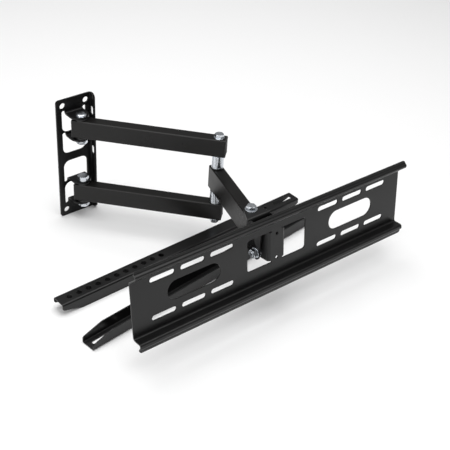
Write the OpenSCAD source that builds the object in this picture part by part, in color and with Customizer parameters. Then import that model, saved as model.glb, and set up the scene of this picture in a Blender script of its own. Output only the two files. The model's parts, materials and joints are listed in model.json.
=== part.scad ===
/* [Wall plate] */
// Width of the wall plate
plate_w = 65; // [60:1:80]
// Height of the wall plate
plate_h = 215; // [210:1:240]
// Thickness of the wall plate and its ears
plate_t = 3; // [2:0.5:4]
// Distance between the screw holes across the plate
hole_span_x = 42; // [36:1:46]
// Distance between the screw holes up the plate
hole_span_z = 193; // [190:1:196]
// Diameter of the wall screw holes
hole_d = 10; // [6:0.5:11]
// How far the side flange stands forward from the wall
flange_depth = 13; // [12:0.5:16]
// Width of an ear
ear_w = 32; // [28:1:34]
// How far an ear stands out from the wall
ear_reach = 33; // [32:0.5:40]

/* [Arms] */
// Height of the arms' middle above the wall plate's middle
arms_z = 4; // [-4:0.5:4]
// Distance between the middles of the upper and the lower arm tube
arm_pitch = 118; // [116:1:122]
// Distance from the wall to the wall pivot
pivot_out = 23.8; // [22.8:0.5:27]
// Distance from the wall pivot to the elbow
arm_len = 219.5; // [180:0.5:260]
// Width of the tubes
tube_w = 20; // [20:1:24]
// Height of an arm tube
tube_h = 30; // [30:0.5:30]
// Wall thickness of the tubes
tube_wall = 2; // [1.5:0.5:2.5]
// Outer diameter of the elbow's spacer sleeves
sleeve_d = 19; // [12:0.5:20]

/* [Forearm and head] */
// Distance from the elbow to the swivel bolt
forearm_len = 130; // [120:1:160]
// Height of the forearm tube
forearm_h = 40; // [36:1:42]
// Width of the head bracket
head_w = 42; // [40:1:44]
// Thickness of the head bracket
head_t = 3; // [2.5:0.5:3]
// Distance from the swivel bolt to the tilt bolt
tilt_out = 41; // [38:1:44]
// Height of the tilt bolt from the forearm's middle
tilt_z = -20; // [-22:1:-18]

/* [TV plate] */
// Length of the TV plate
tv_len = 502; // [460:1:520]
// Sheet thickness of the TV plate
tv_t = 2; // [2:0.5:2.5]
// Height of the web above the slots' middle
tv_top = 38.5; // [38:0.5:42]
// Depth of the web below the slots' middle
tv_bottom = 50; // [48:1:54]
// Distance between the two rows of slots
slot_rows = 60; // [56:1:62]
// Pitch of the slots along a row
slot_pitch = 50; // [50:1:50]
// Length of a slot
slot_len = 40; // [30:1:42]
// Width of a slot
slot_w = 8; // [6:0.5:9]

/* [Rails] */
// Length of a rail
rail_len = 477; // [440:1:490]
// Width of a rail
rail_w = 25; // [22:1:28]
// Height of a rail
rail_h = 20; // [16:1:20]
// Sheet thickness of a rail
rail_t = 2; // [1.5:0.5:2]
// Diameter of the rail's round holes
rail_hole_d = 9; // [6:0.5:10]
// Pitch of the rail's round holes
rail_pitch = 16.9; // [16:0.1:18]
// Number of round holes in a rail
rail_holes = 11; // [6:1:16]

/* [Resting pose] */
// Swing of the arms from straight out of the wall
arm_yaw = 41; // [0:1:60]
// Swing of the forearm from straight out of the wall
forearm_yaw = -16.7; // [-30:0.1:30]
// Swing of the head from straight out of the wall
head_yaw = -1.2; // [-20:0.1:20]
// Tilt of the TV plate, top towards the wall when negative
tilt = -7; // [-10:1:10]

/* [Hidden] */
$fn = 64;

// Gap between faces that slide past each other, and a pin's radial clearance
slip = 0.3;
run = 0.05;

// A cut starts and ends this far outside the sheet that it goes through
eps = 1;

// Wall plate. Each window is [its edge away from the ear, the end of the slits beside the ear]
bend_r = 3;
wall_corner_r = 5;
flange_end_r = 8;
flange_slot = [16, 7];
flange_slot_pitch = 72;
flange_slot_y = 6.5;
pivot_x = -1;
window_half = 22;
upper_windows = [[49, 88], [9.5, 49]];
lower_windows = [[-44.5, -84.5], [-4, -43]];
window_r = 11;
slit_w = window_half - ear_w / 2;

// Arm tubes and their bushes
tube_mid = arm_pitch / 2;
tube_r = 2;
arm_back = 12;
arm_front = 10.5;
arm_low = tube_mid - tube_h / 2;
arm_top = tube_mid + tube_h / 2;
flange_t = 3;
ear_gap = tube_h + 2 * flange_t;
ear_out = ear_gap / 2 + plate_t;
ear_roots = [tube_mid + ear_out + bend_r, tube_mid - ear_gap / 2 + bend_r];
bush_d = 14;
bush_depth = 5;
cap_t = 1.5;
plug_len = 4.5;
plug_wall = 3;

// Fasteners: washers and heads are [diameter, thickness]
wall_bolt_d = 10;
elbow_bolt_d = 8;
joint_washer = [17, 1.6];
elbow_washer = [19, 1.6];
swivel_washer = [19, 1.6];
tilt_washer = [16, 1.6];
flat_head = [16, 2.5];
m8_flats = 13;
m8_head = 5.3;
m8_nut = 6.5;
m10_flats = 16;
m10_head = 6.4;
m10_nut = 5;
stub = 1;
hex_bevel = 1.1;

// Forearm
forearm_top = forearm_h / 2;
forearm_back = 9;
forearm_front = 9;
fore_bush_d = 11;
fore_plug_len = 3;
bush_flange_t = 1.5;
sleeve_low = forearm_top + bush_flange_t + slip + elbow_washer.y;

// Head bracket
leaf_z = forearm_top + bush_flange_t + slip;
head_top = leaf_z + head_t;
leaf_front = 20;
shoulder = 16;
tongue_d = 22;
cheek_front = tilt_out + 7;
cheek_r = 7;
head_low = 12;

// TV plate, its path given as [depth behind the web's face, height from the slots' middle]
tilt_front = 63.6;
slots_z = -5.4;
tv_path = [
    [-12, tv_top + 23], [-12.5, tv_top + 19], [-16, tv_top + 16.5], [-16, tv_top + 12.5],
    [0, tv_top], [0, -tv_bottom],
    [-16, -tv_bottom - 0.5], [-16.3, -tv_bottom - 7.5], [-13, -tv_bottom - 10.5], [-12.5, -tv_bottom - 16]
];
gusset_reach = 6;
oval = [90, 31];
oval_x = 148;
strap_half = 16;
strap_hole_d = 5;
strap_hole_pitch = 40;
cut_half = 55;
cut_low = 25;
cut_high = 27;
cut_r = 5;
relief_d = 5;
lug_half = strap_half;
lug_back = 35;
lug_rear_top = 9;
lug_rear_low = -18;
lug_rear_cut = 7;

// Rails, lying on the floor level with the wall plate's foot
floor_z = -plate_h / 2;
rail_end_cut = 35;
rail_end_h = 10;
rail_first = 19;
rail_small_d = 6;
rail_small_x = 410;
rail_slot = [40, 7];
rail_slot_x = 449;
rail_1_end = [-163, -209.3];
rail_1_yaw = 1.4;
rail_2_end = [-169, -297];
rail_2_yaw = 6.2;

black = "#1c1b1a";
zinc = "#c9ccd0";
nylon = "#151515";

// Frames of the moving parts

module at_pivot() translate([pivot_x, -pivot_out, arms_z]) children();

module arm_frame() at_pivot() rotate([0, 0, arm_yaw]) children();

module forearm_frame()
    arm_frame() translate([0, -arm_len, 0]) rotate([0, 0, forearm_yaw - arm_yaw]) children();

module head_frame()
    forearm_frame() translate([0, -forearm_len, 0]) rotate([0, 0, head_yaw - forearm_yaw]) children();

module tilt_frame() head_frame() translate([0, -tilt_out, tilt_z]) rotate([tilt, 0, 0]) children();

module tv_frame() tilt_frame() translate([0, tilt_out - tilt_front, slots_z - tilt_z]) children();

// Shared shapes

module along_x(length) rotate([90, 0, 90]) translate([0, 0, -length / 2]) linear_extrude(length) children();

module round_bar(length, width) {
    square([length - width, width], center = true);
    for (x = [-1, 1]) translate([x * (length - width) / 2, 0]) circle(d = width);
}

module round_rect(size, r) {
    square([size.x - 2 * r, size.y], center = true);
    square([size.x, size.y - 2 * r], center = true);
    for (x = [-1, 1], y = [-1, 1])
        translate([x * (size.x / 2 - r), y * (size.y / 2 - r)]) circle(r, $fn = 32);
}

module disc(d, h, bore = 0) {
    difference() {
        cylinder(d = d, h = h);
        if (bore > 0) translate([0, 0, -eps]) cylinder(d = bore, h = h + 2 * eps);
    }
}

// A hexagon of the given width across its flats, with its corners turned down
module hexagon(flats, h, bore = 0) {
    difference() {
        intersection() {
            cylinder(d = flats / cos(30), h = h, $fn = 6);
            cylinder(d = flats * hex_bevel, h = h);
        }
        if (bore > 0) translate([0, 0, -eps]) cylinder(d = bore, h = h + 2 * eps);
    }
}

// Quarter of a bent sheet, from the plane y = 0 to the plane z = 0
module bend_quarter(r, t) {
    intersection() {
        difference() {
            circle(r + t);
            circle(r);
        }
        translate([0, -r - t]) square(r + t);
    }
}

// A rectangular tube along -Y from y = back to y = -front
module box_tube(height, back, front) {
    translate([0, back, 0]) rotate([90, 0, 0]) linear_extrude(back + front)
        difference() {
            round_rect([tube_w, height], tube_r);
            round_rect([tube_w - 2 * tube_wall, height - 2 * tube_wall], tube_r / 2);
        }
}

// A plug that closes a tube's end, with its face towards +Y
module end_plug(height, depth) {
    rotate([-90, 0, 0]) linear_extrude(cap_t) round_rect([tube_w, height], tube_r);
    rotate([90, 0, 0]) linear_extrude(depth)
        difference() {
            round_rect([tube_w - 2 * tube_wall, height - 2 * tube_wall], tube_r / 2);
            round_rect([tube_w, height] - (2 * tube_wall + plug_wall) * [1, 1], tube_r / 2);
        }
}

// A flanged bush that sits in a tube's wall with its flange above z = 0
module flanged_bush(d, bore, flange_d, flange_h, depth) {
    difference() {
        union() {
            translate([0, 0, -depth]) cylinder(d = d, h = depth);
            cylinder(d = flange_d, h = flange_h);
        }
        translate([0, 0, -depth - eps]) cylinder(d = bore, h = depth + flange_h + 2 * eps);
    }
}

// Wall plate

module ear(top_z) {
    translate([pivot_x, -plate_t - bend_r, top_z + bend_r]) along_x(ear_w) bend_quarter(bend_r, plate_t);
    difference() {
        translate([pivot_x, 0, top_z - plate_t]) linear_extrude(plate_t) {
            translate([-ear_w / 2, ear_w / 2 - ear_reach])
                square([ear_w, ear_reach - ear_w / 2 - plate_t - bend_r]);
            translate([0, ear_w / 2 - ear_reach]) circle(d = ear_w);
        }
        translate([pivot_x, -pivot_out, top_z - plate_t - eps])
            cylinder(d = wall_bolt_d, h = plate_t + 2 * eps);
    }
}

// A window's outline, with its large corners at the bottom and the ear's root at its top
module window(low, root, slit_end) {
    for (side = [0, 1]) mirror([side, 0]) {
        translate([0, low]) square([window_half - window_r, window_r]);
        translate([window_half - window_r, low + window_r]) circle(window_r);
        translate([0, low + window_r - eps]) square([window_half - slit_w, root - low - window_r + eps]);
        translate([window_half - slit_w, low + window_r])
            square([slit_w, slit_end - slit_w / 2 - low - window_r]);
        translate([window_half - slit_w / 2, slit_end - slit_w / 2]) circle(d = slit_w);
    }
}

module wall_windows() {
    translate([pivot_x, eps, 0]) rotate([90, 0, 0]) linear_extrude(plate_t + 2 * eps)
        for (i = [0, 1]) {
            window(upper_windows[i][0], arms_z + ear_roots[i], upper_windows[i][1]);
            mirror([0, 1]) window(-lower_windows[i][0], ear_roots[i] - arms_z, -lower_windows[i][1]);
        }
}

module wall_web() {
    rotate([90, 0, 0]) linear_extrude(plate_t) {
        translate([-plate_w / 2 + wall_corner_r, -plate_h / 2])
            square([plate_w - wall_corner_r - plate_t - bend_r, plate_h]);
        translate([-plate_w / 2, -plate_h / 2 + wall_corner_r])
            square([wall_corner_r * 2, plate_h - 2 * wall_corner_r]);
        for (z = [-1, 1])
            translate([-plate_w / 2 + wall_corner_r, z * (plate_h / 2 - wall_corner_r)])
                circle(wall_corner_r);
    }
}

module flange_outline() {
    reach = flange_depth - plate_t - bend_r;
    translate([-flange_depth, -plate_h / 2]) intersection() {
        square([reach, plate_h]);
        translate([plate_h / 2, plate_h / 2]) round_rect([plate_h, plate_h], flange_end_r);
    }
}

module flange_slots() {
    for (i = [-1:1])
        translate([plate_w / 2 - plate_t - bend_r, -flange_slot_y, arms_z + i * flange_slot_pitch])
            rotate([90, 90, 90]) linear_extrude(plate_t + bend_r + eps)
                round_bar(flange_slot.x, flange_slot.y);
}

module side_flange() {
    difference() {
        union() {
            translate([plate_w / 2 - plate_t - bend_r, -plate_t - bend_r, -plate_h / 2])
                linear_extrude(plate_h) rotate(90) bend_quarter(bend_r, plate_t);
            translate([plate_w / 2 - plate_t, 0, 0]) rotate([90, 0, 90])
                linear_extrude(plate_t) flange_outline();
        }
        flange_slots();
    }
}

module wall_plate() color(black) {
    difference() {
        wall_web();
        for (x = [-1, 1], z = [-1, 1])
            translate([x * hole_span_x / 2, eps, z * hole_span_z / 2]) rotate([90, 0, 0])
                cylinder(d = hole_d, h = plate_t + 2 * eps);
        wall_windows();
    }
    side_flange();
    translate([0, 0, arms_z]) for (side = [0, 1]) mirror([0, 0, side]) {
        ear(tube_mid + ear_gap / 2 + plate_t);
        ear(tube_mid - ear_gap / 2);
    }
}

// Wall pivots

module upper_wall_bolt() color(zinc)
    at_pivot() translate([0, 0, tube_mid]) {
        translate([0, 0, ear_out + joint_washer.y]) disc(flat_head.x, flat_head.y);
        translate([0, 0, -ear_out - joint_washer.y - m10_nut - stub])
            cylinder(d = wall_bolt_d, h = 2 * (ear_out + joint_washer.y) + m10_nut + stub);
    }

module lower_wall_bolt() color(zinc)
    at_pivot() translate([0, 0, -tube_mid]) {
        translate([0, 0, ear_out + joint_washer.y]) hexagon(m10_flats, m10_head);
        translate([0, 0, -ear_out - joint_washer.y - m10_nut - stub])
            cylinder(d = wall_bolt_d, h = 2 * (ear_out + joint_washer.y) + m10_nut + stub);
    }

module wall_washers() color(zinc)
    at_pivot() for (side = [-1, 1]) translate([0, 0, side * tube_mid]) {
        translate([0, 0, ear_out]) disc(joint_washer.x, joint_washer.y, wall_bolt_d);
        translate([0, 0, -ear_out - joint_washer.y]) disc(joint_washer.x, joint_washer.y, wall_bolt_d);
    }

module wall_nuts() color(zinc)
    at_pivot() for (side = [-1, 1])
        translate([0, 0, side * tube_mid - ear_out - joint_washer.y - m10_nut])
            hexagon(m10_flats, m10_nut, wall_bolt_d);

// Arms

module arm_tube(level) {
    arm_frame() translate([0, 0, level])
        difference() {
            box_tube(tube_h, arm_back, arm_len + arm_front);
            translate([0, 0, -tube_h]) cylinder(d = bush_d, h = 2 * tube_h);
            translate([0, -arm_len, -tube_h]) cylinder(d = elbow_bolt_d, h = 2 * tube_h);
        }
}

module arm_bushes(level) {
    arm_frame() translate([0, 0, level]) for (side = [0, 1]) mirror([0, 0, side])
        translate([0, 0, tube_h / 2])
            flanged_bush(bush_d, wall_bolt_d + 2 * run, tube_w, flange_t - slip, bush_depth);
}

module arm_end_caps(level) {
    arm_frame() translate([0, 0, level]) {
        translate([0, arm_back, 0]) end_plug(tube_h, plug_len);
        translate([0, -arm_len - arm_front, 0]) rotate([0, 0, 180]) end_plug(tube_h, plug_len);
    }
}

module upper_arm_tube() color(black) arm_tube(tube_mid);

module lower_arm_tube() color(black) arm_tube(-tube_mid);

module upper_arm_bushes() color(nylon) arm_bushes(tube_mid);

module lower_arm_bushes() color(nylon) arm_bushes(-tube_mid);

module upper_arm_end_caps() color(nylon) arm_end_caps(tube_mid);

module lower_arm_end_caps() color(nylon) arm_end_caps(-tube_mid);

// Elbow

module at_elbow() arm_frame() translate([0, -arm_len, 0]) children();

module elbow_bolt() color(zinc)
    at_elbow() {
        translate([0, 0, arm_top + elbow_washer.y]) hexagon(m8_flats, m8_head);
        translate([0, 0, -arm_top - elbow_washer.y - m8_nut - stub])
            cylinder(d = elbow_bolt_d, h = 2 * (arm_top + elbow_washer.y) + m8_nut + stub);
    }

module elbow_washers() color(zinc)
    at_elbow() for (side = [0, 1]) mirror([0, 0, side]) {
        translate([0, 0, arm_top]) disc(joint_washer.x, elbow_washer.y, elbow_bolt_d);
        translate([0, 0, forearm_top + bush_flange_t + slip])
            disc(elbow_washer.x, elbow_washer.y, elbow_bolt_d);
    }

module elbow_nut() color(zinc)
    at_elbow() translate([0, 0, -arm_top - elbow_washer.y - m8_nut])
        hexagon(m8_flats, m8_nut, elbow_bolt_d);

module elbow_sleeve(side) {
    at_elbow() mirror([0, 0, side])
        translate([0, 0, sleeve_low]) disc(sleeve_d, arm_low - sleeve_low, elbow_bolt_d);
}

module upper_elbow_sleeve() color(zinc) elbow_sleeve(0);

module lower_elbow_sleeve() color(zinc) elbow_sleeve(1);

// Forearm

module forearm_tube() color(black)
    forearm_frame() difference() {
        box_tube(forearm_h, forearm_back, forearm_len + forearm_front);
        for (y = [0, -forearm_len])
            translate([0, y, -forearm_h]) cylinder(d = fore_bush_d, h = 2 * forearm_h);
    }

module forearm_bushes() color(nylon)
    forearm_frame() for (y = [0, -forearm_len], side = [0, 1])
        translate([0, y, 0]) mirror([0, 0, side]) translate([0, 0, forearm_top])
            flanged_bush(fore_bush_d, elbow_bolt_d + 2 * run, tube_w - 2, bush_flange_t, bush_depth);

module forearm_end_caps() color(nylon)
    forearm_frame() {
        translate([0, forearm_back, 0]) end_plug(forearm_h, fore_plug_len);
        translate([0, -forearm_len - forearm_front, 0]) rotate([0, 0, 180])
            end_plug(forearm_h, fore_plug_len);
    }

// Head

// Where a line from a point right of and in front of the swivel touches the leaf's round end
function touch(p) =
    let (from = atan2(p.y, p.x) + acos(tongue_d / 2 / norm(p))) tongue_d / 2 * [cos(from), sin(from)];

module head_leaf() {
    touching = touch([head_w / 2, -shoulder]);
    translate([0, 0, leaf_z]) linear_extrude(head_t) difference() {
        union() {
            circle(d = tongue_d);
            polygon([
                [-head_w / 2, -leaf_front], [head_w / 2, -leaf_front], [head_w / 2, -shoulder],
                touching, [-touching.x, touching.y], [-head_w / 2, -shoulder]
            ]);
        }
        circle(d = elbow_bolt_d);
    }
}

module head_cheek() {
    translate([head_w / 2 - head_t / 2, 0, 0]) along_x(head_t) difference() {
        union() {
            polygon([
                [-leaf_front + head_t, head_top], [-cheek_front + cheek_r, head_top],
                [-cheek_front, head_top - cheek_r], [-cheek_front, tilt_z - head_low + cheek_r],
                [-cheek_front + cheek_r, tilt_z - head_low], [-leaf_front - head_t, tilt_z - head_low],
                [-leaf_front + head_t, -head_top]
            ]);
            translate([-cheek_front + cheek_r, head_top - cheek_r]) circle(cheek_r);
            translate([-cheek_front + cheek_r, tilt_z - head_low + cheek_r]) circle(cheek_r);
        }
        translate([-tilt_out, tilt_z]) circle(d = elbow_bolt_d);
    }
}

module head_bracket() color(black)
    head_frame() {
        for (side = [0, 1]) {
            mirror([0, 0, side]) head_leaf();
            mirror([side, 0, 0]) head_cheek();
        }
        translate([-head_w / 2, -leaf_front, -head_top]) cube([head_w, head_t, 2 * head_top]);
    }

module swivel_bolt() color(zinc)
    head_frame() {
        translate([0, 0, head_top + swivel_washer.y]) hexagon(m8_flats, m8_head);
        translate([0, 0, -head_top - swivel_washer.y - m8_nut - stub])
            cylinder(d = elbow_bolt_d, h = 2 * (head_top + swivel_washer.y) + m8_nut + stub);
    }

module swivel_washers() color(zinc)
    head_frame() for (side = [0, 1]) mirror([0, 0, side])
        translate([0, 0, head_top]) disc(swivel_washer.x, swivel_washer.y, elbow_bolt_d);

module swivel_nut() color(zinc)
    head_frame() translate([0, 0, -head_top - swivel_washer.y - m8_nut])
        hexagon(m8_flats, m8_nut, elbow_bolt_d);

// Tilt pivot, along X with the nut at -X

module at_tilt() head_frame() translate([0, -tilt_out, tilt_z]) rotate([0, 90, 0]) children();

module tilt_bolt() color(zinc)
    at_tilt() {
        translate([0, 0, head_w / 2 + tilt_washer.y]) hexagon(m8_flats, m8_head);
        translate([0, 0, -head_w / 2 - tilt_washer.y - m8_nut - stub])
            cylinder(d = elbow_bolt_d, h = head_w + 2 * tilt_washer.y + m8_nut + stub);
    }

module tilt_washers() color(zinc)
    at_tilt() for (side = [0, 1]) mirror([0, 0, side]) {
        translate([0, 0, head_w / 2]) disc(tilt_washer.x, tilt_washer.y, elbow_bolt_d);
        translate([0, 0, lug_half + slip])
            disc(tilt_washer.x, head_w / 2 - head_t - lug_half - slip, elbow_bolt_d);
    }

module tilt_nut() color(zinc)
    at_tilt() translate([0, 0, -head_w / 2 - tilt_washer.y - m8_nut])
        hexagon(m8_flats, m8_nut, elbow_bolt_d);

// TV plate

function unit(v) = v / norm(v);
function left(v) = [-v.y, v.x];
function way(path, i) = unit(path[min(i + 1, len(path) - 1)] - path[min(i, len(path) - 2)]);
function mitre(path, i) = unit(left(way(path, max(i - 1, 0))) + left(way(path, i)));
function shifted(path, t) = [
    for (i = [0:len(path) - 1]) path[i] + mitre(path, i) * t / (mitre(path, i) * left(way(path, i)))
];

// A sheet of thickness t bent along a path, with its thickness on the path's left
module bent_sheet(path, t) {
    back = shifted(path, t);
    polygon(concat(path, [for (i = [len(back) - 1:-1:0]) back[i]]));
}

module through_web()
    translate([0, tv_t + eps, 0]) rotate([90, 0, 0]) linear_extrude(tv_t + 2 * eps) children();

module tv_openings() {
    for (side = [-1, 1]) {
        for (row = [-1, 1], i = [2:4])
            translate([side * i * slot_pitch, row * slot_rows / 2]) round_bar(slot_len, slot_w);
        translate([side * oval_x, 0]) round_bar(oval.x, oval.y);
        translate([side * (strap_half + cut_half) / 2, (cut_high - cut_low) / 2])
            round_rect([cut_half - strap_half, cut_high + cut_low], cut_r);
        for (z = [cut_high, -cut_low]) translate([side * strap_half, z]) circle(d = relief_d);
        translate([0, side * strap_hole_pitch / 2]) circle(d = strap_hole_d);
    }
}

module lug() {
    translate([lug_half - tv_t / 2, 0, 0]) along_x(tv_t) difference() {
        polygon([
            [0, cut_high - relief_d / 2], [gusset_reach, cut_high - relief_d / 2], [lug_back, lug_rear_top],
            [lug_back, lug_rear_low], [lug_back - lug_rear_cut, -cut_low + relief_d / 2],
            [0, -cut_low + relief_d / 2]
        ]);
        translate([tilt_front - tilt_out, tilt_z - slots_z]) circle(d = elbow_bolt_d + 2 * run);
    }
}

module tv_plate() color(black)
    tv_frame() {
        difference() {
            along_x(tv_len) bent_sheet(tv_path, tv_t);
            through_web() tv_openings();
        }
        for (side = [0, 1]) mirror([side, 0, 0]) lug();
    }

// Rails

module rail_section() {
    difference() {
        translate([-rail_w / 2, 0]) square([rail_w, rail_h]);
        translate([-rail_w / 2 + rail_t, -eps]) square([rail_w - 2 * rail_t, rail_h - rail_t + eps]);
    }
}

// What is cut off the free edges of both flanges at the end x = 0
module rail_taper() {
    translate([0, rail_w / 2 + eps, 0]) rotate([90, 0, 0]) linear_extrude(rail_w + 2 * eps)
        polygon([
            [-eps, -eps], [rail_end_cut, -eps], [rail_end_cut, 0],
            [0, rail_h - rail_end_h], [-eps, rail_h - rail_end_h]
        ]);
}

module rail() {
    difference() {
        translate([rail_len / 2, 0, 0]) along_x(rail_len) rail_section();
        rail_taper();
        translate([rail_len, 0, 0]) mirror([1, 0, 0]) rail_taper();
        translate([0, 0, rail_h - rail_t - eps]) linear_extrude(rail_t + 2 * eps) {
            for (i = [0:rail_holes - 1])
                translate([rail_first + i * rail_pitch, 0]) circle(d = rail_hole_d);
            translate([rail_small_x, 0]) circle(d = rail_small_d);
            translate([rail_slot_x, 0]) round_bar(rail_slot.x, rail_slot.y);
        }
    }
}

module rail_1() color(black)
    translate([rail_1_end.x, rail_1_end.y, floor_z]) rotate([0, 0, rail_1_yaw]) rail();

module rail_2() color(black)
    translate([rail_2_end.x, rail_2_end.y, floor_z]) rotate([0, 0, rail_2_yaw])
        translate([rail_len, 0, rail_h]) rotate([0, 180, 0]) rail();

wall_plate();
upper_wall_bolt();
lower_wall_bolt();
wall_washers();
wall_nuts();
upper_arm_tube();
lower_arm_tube();
upper_arm_bushes();
lower_arm_bushes();
upper_arm_end_caps();
lower_arm_end_caps();
elbow_bolt();
elbow_washers();
elbow_nut();
upper_elbow_sleeve();
lower_elbow_sleeve();
forearm_tube();
forearm_bushes();
forearm_end_caps();
head_bracket();
swivel_bolt();
swivel_washers();
swivel_nut();
tilt_bolt();
tilt_washers();
tilt_nut();
tv_plate();
rail_1();
rail_2();
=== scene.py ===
"""A full motion TV wall mount with folded steel plates, box tube arms and two loose rails, in its studio.

Every size is in millimetres until a piece is finished; finished meshes are in metres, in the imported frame.
"""

from __future__ import annotations

import json
import logging
from dataclasses import dataclass, field
from enum import Enum
from math import acos, atan2, cos, hypot, inf, pi, radians, sin, tan
from typing import Any, Sequence

import bmesh
import bpy
from mathutils import Matrix, Vector

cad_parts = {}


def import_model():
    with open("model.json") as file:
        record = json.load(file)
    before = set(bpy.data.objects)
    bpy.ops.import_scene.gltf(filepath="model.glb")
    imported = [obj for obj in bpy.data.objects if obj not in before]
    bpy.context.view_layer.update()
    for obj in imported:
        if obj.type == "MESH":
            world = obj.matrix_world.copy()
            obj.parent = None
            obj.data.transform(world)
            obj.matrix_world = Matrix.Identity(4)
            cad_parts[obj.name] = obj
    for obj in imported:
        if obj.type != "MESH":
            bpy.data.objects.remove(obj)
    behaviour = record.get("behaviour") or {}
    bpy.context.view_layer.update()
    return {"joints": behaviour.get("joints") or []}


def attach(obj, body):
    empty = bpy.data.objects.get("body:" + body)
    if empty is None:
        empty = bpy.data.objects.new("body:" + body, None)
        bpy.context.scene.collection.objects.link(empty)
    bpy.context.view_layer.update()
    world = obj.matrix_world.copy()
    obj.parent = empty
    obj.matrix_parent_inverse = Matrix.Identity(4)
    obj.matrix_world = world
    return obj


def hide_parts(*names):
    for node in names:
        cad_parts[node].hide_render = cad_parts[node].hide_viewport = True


LOG = logging.getLogger("wall_mount")
MILLIMETRE = 0.001

# Rounded edges: the chords across one, and the least angle that is rounded
EDGE_SEGMENTS = 2
EDGE_ANGLE = radians(35)

# Noise below and above these values gives the lowest and the highest roughness
GLOSS_SPREAD = (0.3, 0.7)

Corner = tuple[float, float, float]
Profile = Sequence[tuple[float, float]]


class Slot(Enum):
    """The record's material slots."""

    WEB = "powder_coat_web"
    TUBE = "powder_coat_tube"
    PLATE = "powder_coat_plate"
    RAIL = "powder_coat_rail"
    NYLON = "nylon"
    PLUG = "end_plug"
    ZINC = "zinc"


class Body(Enum):
    """The bodies that pieces ride on."""

    WALL = "wall_plate"
    ARMS = "arms"
    FOREARM = "forearm"
    HEAD = "head"
    TV = "tv_plate"
    RAIL_1 = "rail_1"
    RAIL_2 = "rail_2"


class Way(Enum):
    """The direction in a flat sheet in which a flap leaves its bend line."""

    LEFT = (-1.0, 0.0, 0.0)
    RIGHT = (1.0, 0.0, 0.0)
    UP = (0.0, 0.0, 1.0)
    DOWN = (0.0, 0.0, -1.0)


class Skin(Enum):
    """The side of the metal on which a flat sheet is laid out, as the y of that side's normal."""

    FRONT = -1.0
    BACK = 1.0


# Outlines


def fillet(corners: Sequence[Corner], step: float = radians(9)) -> list[Vector]:
    """Turn corners into a closed outline with arcs.

    Args:
        corners: x, y and corner radius of each corner, in order.
        step: The turn of one chord of an arc.

    Returns:
        The outline's points, without repeats.
    """
    outline: list[Vector] = []
    for i, (x, y, radius) in enumerate(corners):
        here = Vector((x, y))
        back = (Vector(corners[i - 1][:2]) - here).normalized()
        ahead = (Vector(corners[(i + 1) % len(corners)][:2]) - here).normalized()
        half = back.angle(ahead) / 2
        centre = here + (back + ahead).normalized() * radius / sin(half) if radius else here
        first = here + back * radius / tan(half) - centre if radius else Vector((0.0, 0.0))
        sweep = (pi - 2 * half) * (1 if back.cross(ahead) < 0 else -1)
        chords = max(2, round(abs(sweep) / step)) if radius else 0
        for k in range(chords + 1):
            turned = first.copy()
            turned.rotate(Matrix.Rotation(sweep * k / max(chords, 1), 2))
            outline.append(centre + turned)
    return [p for i, p in enumerate(outline) if (p - outline[i - 1]).length > 1e-4]


def slot_outline(x: float, y: float, length: float, width: float) -> list[Vector]:
    """Outline a slot with round ends.

    Args:
        x, y: The slot's middle.
        length: Its size along x.
        width: Its size along y.

    Returns:
        The outline's points.
    """
    u, v, r = length / 2, width / 2, min(length, width) / 2
    return fillet([(x - u, y - v, r), (x + u, y - v, r), (x + u, y + v, r), (x - u, y + v, r)])


def circle_outline(x: float, y: float, diameter: float, chords: int = 40) -> list[Vector]:
    """Outline a round hole.

    Args:
        x, y: Its middle.
        diameter: Its size.
        chords: The number of its sides.

    Returns:
        The outline's points.
    """
    angles = [2 * pi * k / chords for k in range(chords)]
    return [Vector((x + diameter / 2 * cos(a), y + diameter / 2 * sin(a))) for a in angles]


def box_outline(width: float, height: float, radius: float) -> list[Vector]:
    """Outline a rectangle about the origin with round corners.

    Args:
        width: Size along x.
        height: Size along y.
        radius: Corner radius.

    Returns:
        The outline's points.
    """
    u, v = width / 2, height / 2
    return fillet([(-u, -v, radius), (u, -v, radius), (u, v, radius), (-u, v, radius)])


# Shaping with bmesh operators


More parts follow.
